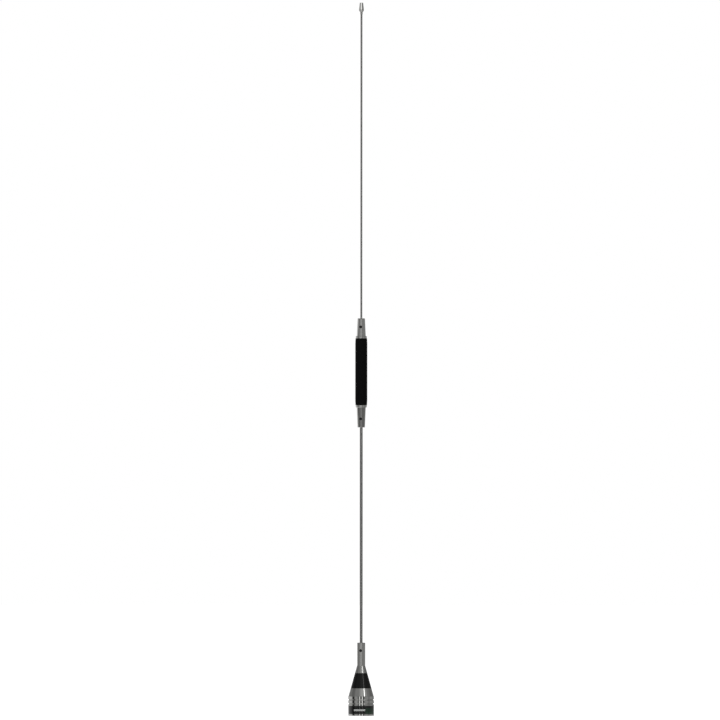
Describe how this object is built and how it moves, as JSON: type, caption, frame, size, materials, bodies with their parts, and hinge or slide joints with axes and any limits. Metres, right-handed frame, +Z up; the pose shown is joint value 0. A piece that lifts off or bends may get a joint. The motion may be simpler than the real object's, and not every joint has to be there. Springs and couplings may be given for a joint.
{
  "type": "centre-loaded mobile whip antenna",
  "caption": "Slim mobile whip antenna on a screw-on metal cone base with a black insulating band, a sleeved loading coil between tapered ferrules at mid-length and a bead at the tip.",
  "frame": {"origin": "centre of the base's open rim, on the plane that the rim stands on", "axes": "+Z up the antenna from the rim to the tip; -Y is the side that the picture shows, where the set screws are; +X is the picture's right"},
  "size_m": [0.04, 0.04, 1.1095],
  "materials": {
    "chromed_brass": "polished chrome plate on turned brass",
    "stainless": "drawn stainless rod",
    "plated_steel": "zinc-plated steel",
    "blackened_steel": "blackened steel",
    "brass": "turned brass",
    "copper_wire": null,
    "black_acetal": "smooth black plastic with a soft gloss",
    "contact_disc_plastic": "natural ivory plastic",
    "former_plastic": "natural plastic tube",
    "heat_shrink": "matte black heat-shrunk sleeve",
    "label_foil": "smooth dark printed foil",
    "rubber": "black rubber"
  },
  "bodies": {
    "base": {"base_shell": "chromed_brass", "label_band": "label_foil", "insulator": "black_acetal", "lock_washer": "plated_steel", "ring_nut": "brass", "contact_disc": "contact_disc_plastic", "seal_ring": "rubber", "contact_bolt": "brass", "contact_collar": "brass", "contact_spring": "plated_steel", "whip_holder": "chromed_brass", "holder_set_screw": "blackened_steel"},
    "contact_plunger": {"contact_pin": "brass"},
    "lower_mast": {"lower_whip": "stainless"},
    "coil": {"lower_ferrule": "chromed_brass", "lower_ferrule_set_screw": "blackened_steel", "coil_former": "former_plastic", "coil_winding": "copper_wire", "coil_sleeve": "heat_shrink", "former_pins": "plated_steel", "upper_ferrule": "chromed_brass", "upper_ferrule_set_screw": "blackened_steel"},
    "upper_mast": {"upper_whip": "stainless", "tip_bead": "chromed_brass"}
  },
  "joints": [
    {"name": "contact_press", "type": "slide", "parent": "base", "child": "contact_plunger", "axis": [0, 0, 1], "range_m": [0, 0.0018], "stiffness_N_per_m": 450, "springref_m": -0.003, "deforming": ["contact_spring"]},
    {"name": "lower_whip_slide", "type": "slide", "parent": "base", "child": "lower_mast", "axis": [0, 0, 1], "range_m": [0, 0.016]},
    {"name": "coil_slide", "type": "slide", "parent": "lower_mast", "child": "coil", "axis": [0, 0, 1], "range_m": [0, 0.01]},
    {"name": "upper_whip_slide", "type": "slide", "parent": "coil", "child": "upper_mast", "axis": [0, 0, 1], "range_m": [0, 0.007]}
  ]
}
